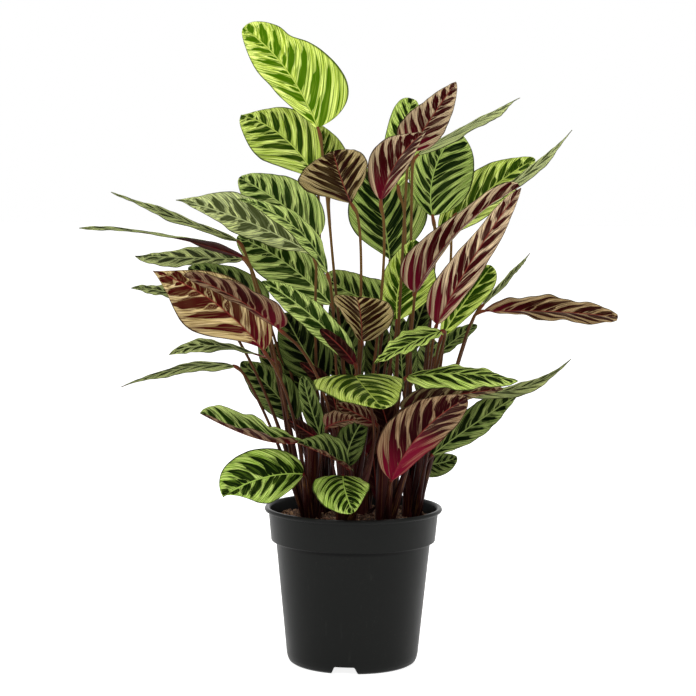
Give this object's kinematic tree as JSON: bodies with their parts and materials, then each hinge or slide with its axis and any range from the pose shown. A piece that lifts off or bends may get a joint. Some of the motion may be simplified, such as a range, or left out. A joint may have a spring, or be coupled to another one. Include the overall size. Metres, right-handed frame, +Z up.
{
  "type": "potted calathea",
  "caption": "Bushy potted calathea with feather-patterned oval leaves, burgundy underneath, on thin red-brown stems that rise from a round black plastic nursery pot.",
  "frame": {"origin": "centre of the pot's foot, on the surface that the pot stands on", "axes": "+Z up, -Y towards the front that the picture shows, +X to the picture's right"},
  "size_m": [0.6114, 0.3891, 0.7583],
  "materials": {
    "pot_plastic": "satin",
    "potting_mix": "matte",
    "stem": "satin",
    "leaf_blade": "satin"
  },
  "bodies": {
    "root": {"nursery_pot": "pot_plastic", "potting_soil": "potting_mix", "shoot_left_front": "stem", "shoot_left_back": "stem", "shoot_centre_front": "stem", "shoot_centre_back": "stem", "shoot_right_front": "stem", "shoot_right_back": "stem", "leaf_01": "leaf_blade", "leaf_02": "leaf_blade", "leaf_03": "leaf_blade", "leaf_04": "leaf_blade", "leaf_05": "leaf_blade", "leaf_06": "leaf_blade", "leaf_07": "leaf_blade", "leaf_08": "leaf_blade", "leaf_09": "leaf_blade", "leaf_10": "leaf_blade", "leaf_11": "leaf_blade", "leaf_12": "leaf_blade", "leaf_13": "leaf_blade", "leaf_14": "leaf_blade", "leaf_15": "leaf_blade", "leaf_16": "leaf_blade", "leaf_17": "leaf_blade", "leaf_18": "leaf_blade", "leaf_19": "leaf_blade", "leaf_20": "leaf_blade", "leaf_21": "leaf_blade", "leaf_22": "leaf_blade", "leaf_23": "leaf_blade", "leaf_24": "leaf_blade", "leaf_25": "leaf_blade", "leaf_26": "leaf_blade", "leaf_27": "leaf_blade", "leaf_28": "leaf_blade", "leaf_29": "leaf_blade", "leaf_30": "leaf_blade", "leaf_31": "leaf_blade", "leaf_32": "leaf_blade", "leaf_33": "leaf_blade", "leaf_35": "leaf_blade", "leaf_36": "leaf_blade", "leaf_37": "leaf_blade", "leaf_38": "leaf_blade", "leaf_39": "leaf_blade", "leaf_40": "leaf_blade", "leaf_41": "leaf_blade", "leaf_42": "leaf_blade", "leaf_43": "leaf_blade", "leaf_44": "leaf_blade", "leaf_45": "leaf_blade", "leaf_46": "leaf_blade", "leaf_47": "leaf_blade", "leaf_48": "leaf_blade", "leaf_50": "leaf_blade", "leaf_52": "leaf_blade", "leaf_54": "leaf_blade", "leaf_55": "leaf_blade", "leaf_58": "leaf_blade"}
  },
  "joints": []
}
